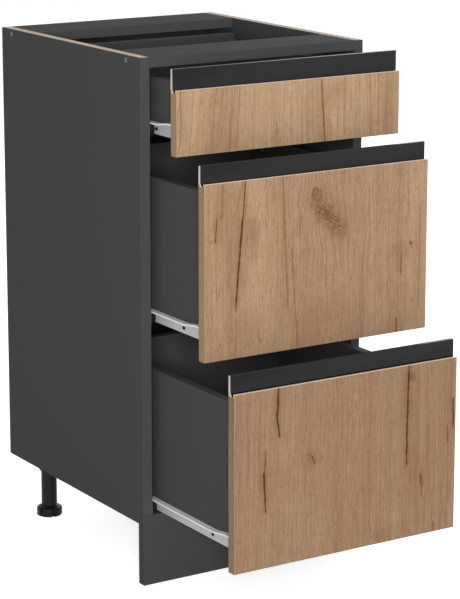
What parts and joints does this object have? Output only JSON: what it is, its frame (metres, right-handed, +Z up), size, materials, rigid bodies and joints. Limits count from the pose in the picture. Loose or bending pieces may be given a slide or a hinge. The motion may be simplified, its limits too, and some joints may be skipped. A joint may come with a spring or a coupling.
{
  "type": "kitchen base cabinet with drawers",
  "caption": "Narrow kitchen base cabinet with stacked drawers on roller runners: dark board carcass, open top, wood-look fronts with milled grips, plinth and rear levelling feet.",
  "frame": {"origin": "on the floor, under the middle of the whole cabinet with its drawers open as drawn", "axes": "+Z up, the drawers open towards -Y, +X to the right for someone who faces the drawer fronts"},
  "size_m": [0.4, 0.703, 0.816],
  "materials": {
    "carcass_board": "anthracite melamine board",
    "oak_front": "oak-look laminated board",
    "thin_board": "thin hardboard, dark lacquered",
    "runner_steel": "light grey epoxy coat",
    "roller_plastic": "moulded nylon",
    "fastener_steel": "zinc plated",
    "leg_plastic": "black moulded",
    "dowel_beech": "raw beech"
  },
  "bodies": {
    "carcass": {"side_panel_left": "carcass_board", "side_panel_right": "carcass_board", "bottom_panel": "carcass_board", "back_panel": "thin_board", "top_rail_front": "carcass_board", "top_rail_rear": "carcass_board", "plinth_panel": "carcass_board", "rail_confirmats": "fastener_steel", "rail_dowels": "dowel_beech", "bottom_cam_fittings": "fastener_steel", "back_nails": "fastener_steel", "plinth_brackets": "fastener_steel", "bracket_screws": "fastener_steel", "leg_sockets": "leg_plastic", "leg_tubes": "leg_plastic", "leg_screws": "fastener_steel", "track_screws": "fastener_steel", "top_track_left": "runner_steel", "top_track_right": "runner_steel", "middle_track_left": "runner_steel", "middle_track_right": "runner_steel", "lower_track_left": "runner_steel", "lower_track_right": "runner_steel"},
    "top_drawer": {"top_drawer_front": "oak_front", "top_drawer_side_left": "carcass_board", "top_drawer_side_right": "carcass_board", "top_drawer_back": "carcass_board", "top_drawer_bottom": "thin_board", "top_runner_left": "runner_steel", "top_runner_right": "runner_steel", "top_cam_fittings": "fastener_steel", "top_runner_screws": "fastener_steel"},
    "front_rollers_top": {"top_front_rollers": "roller_plastic"},
    "rear_rollers_top": {"top_rear_rollers": "roller_plastic"},
    "middle_drawer": {"middle_drawer_front": "oak_front", "middle_drawer_side_left": "carcass_board", "middle_drawer_side_right": "carcass_board", "middle_drawer_back": "carcass_board", "middle_drawer_bottom": "thin_board", "middle_runner_left": "runner_steel", "middle_runner_right": "runner_steel", "middle_cam_fittings": "fastener_steel", "middle_runner_screws": "fastener_steel"},
    "front_rollers_middle": {"middle_front_rollers": "roller_plastic"},
    "rear_rollers_middle": {"middle_rear_rollers": "roller_plastic"},
    "lower_drawer": {"lower_drawer_front": "oak_front", "lower_drawer_side_left": "carcass_board", "lower_drawer_side_right": "carcass_board", "lower_drawer_back": "carcass_board", "lower_drawer_bottom": "thin_board", "lower_runner_left": "runner_steel", "lower_runner_right": "runner_steel", "lower_cam_fittings": "fastener_steel", "lower_runner_screws": "fastener_steel"},
    "front_rollers_lower": {"lower_front_rollers": "roller_plastic"},
    "rear_rollers_lower": {"lower_rear_rollers": "roller_plastic"},
    "left_foot": {"foot_left": "leg_plastic"},
    "right_foot": {"foot_right": "leg_plastic"}
  },
  "joints": [
    {"name": "top_drawer_slide", "type": "slide", "parent": "carcass", "child": "top_drawer", "axis": [0, -1, 0], "range_m": [-0.082, 0.218]},
    {"name": "top_front_roll", "type": "hinge", "parent": "carcass", "child": "front_rollers_top", "pos_m": [0, -0.0825, 0.707], "axis": [1, 0, 0], "continuous": true},
    {"name": "top_rear_roll", "type": "hinge", "parent": "top_drawer", "child": "rear_rollers_top", "pos_m": [0, 0.2095, 0.708], "axis": [1, 0, 0], "continuous": true},
    {"name": "middle_drawer_slide", "type": "slide", "parent": "carcass", "child": "middle_drawer", "axis": [0, -1, 0], "range_m": [-0.158, 0.142]},
    {"name": "middle_front_roll", "type": "hinge", "parent": "carcass", "child": "front_rollers_middle", "pos_m": [0, -0.0825, 0.4195], "axis": [1, 0, 0], "continuous": true},
    {"name": "middle_rear_roll", "type": "hinge", "parent": "middle_drawer", "child": "rear_rollers_middle", "pos_m": [0, 0.1335, 0.4205], "axis": [1, 0, 0], "continuous": true},
    {"name": "lower_drawer_slide", "type": "slide", "parent": "carcass", "child": "lower_drawer", "axis": [0, -1, 0], "range_m": [-0.238, 0.062]},
    {"name": "lower_front_roll", "type": "hinge", "parent": "carcass", "child": "front_rollers_lower", "pos_m": [0, -0.0825, 0.123], "axis": [1, 0, 0], "continuous": true},
    {"name": "lower_rear_roll", "type": "hinge", "parent": "lower_drawer", "child": "rear_rollers_lower", "pos_m": [0, 0.0535, 0.124], "axis": [1, 0, 0], "continuous": true},
    {"name": "left_foot_screw", "type": "slide", "parent": "carcass", "child": "left_foot", "axis": [0, 0, -1], "range_m": [0, 0.02]},
    {"name": "right_foot_screw", "type": "slide", "parent": "carcass", "child": "right_foot", "axis": [0, 0, -1], "range_m": [0, 0.02]}
  ],
  "couplings": [
    {"joint": "top_front_roll", "follows": "top_drawer_slide", "rad_per_m": 100},
    {"joint": "top_rear_roll", "follows": "top_drawer_slide", "rad_per_m": 100},
    {"joint": "middle_front_roll", "follows": "middle_drawer_slide", "rad_per_m": 100},
    {"joint": "middle_rear_roll", "follows": "middle_drawer_slide", "rad_per_m": 100},
    {"joint": "lower_front_roll", "follows": "lower_drawer_slide", "rad_per_m": 100},
    {"joint": "lower_rear_roll", "follows": "lower_drawer_slide", "rad_per_m": 100}
  ]
}
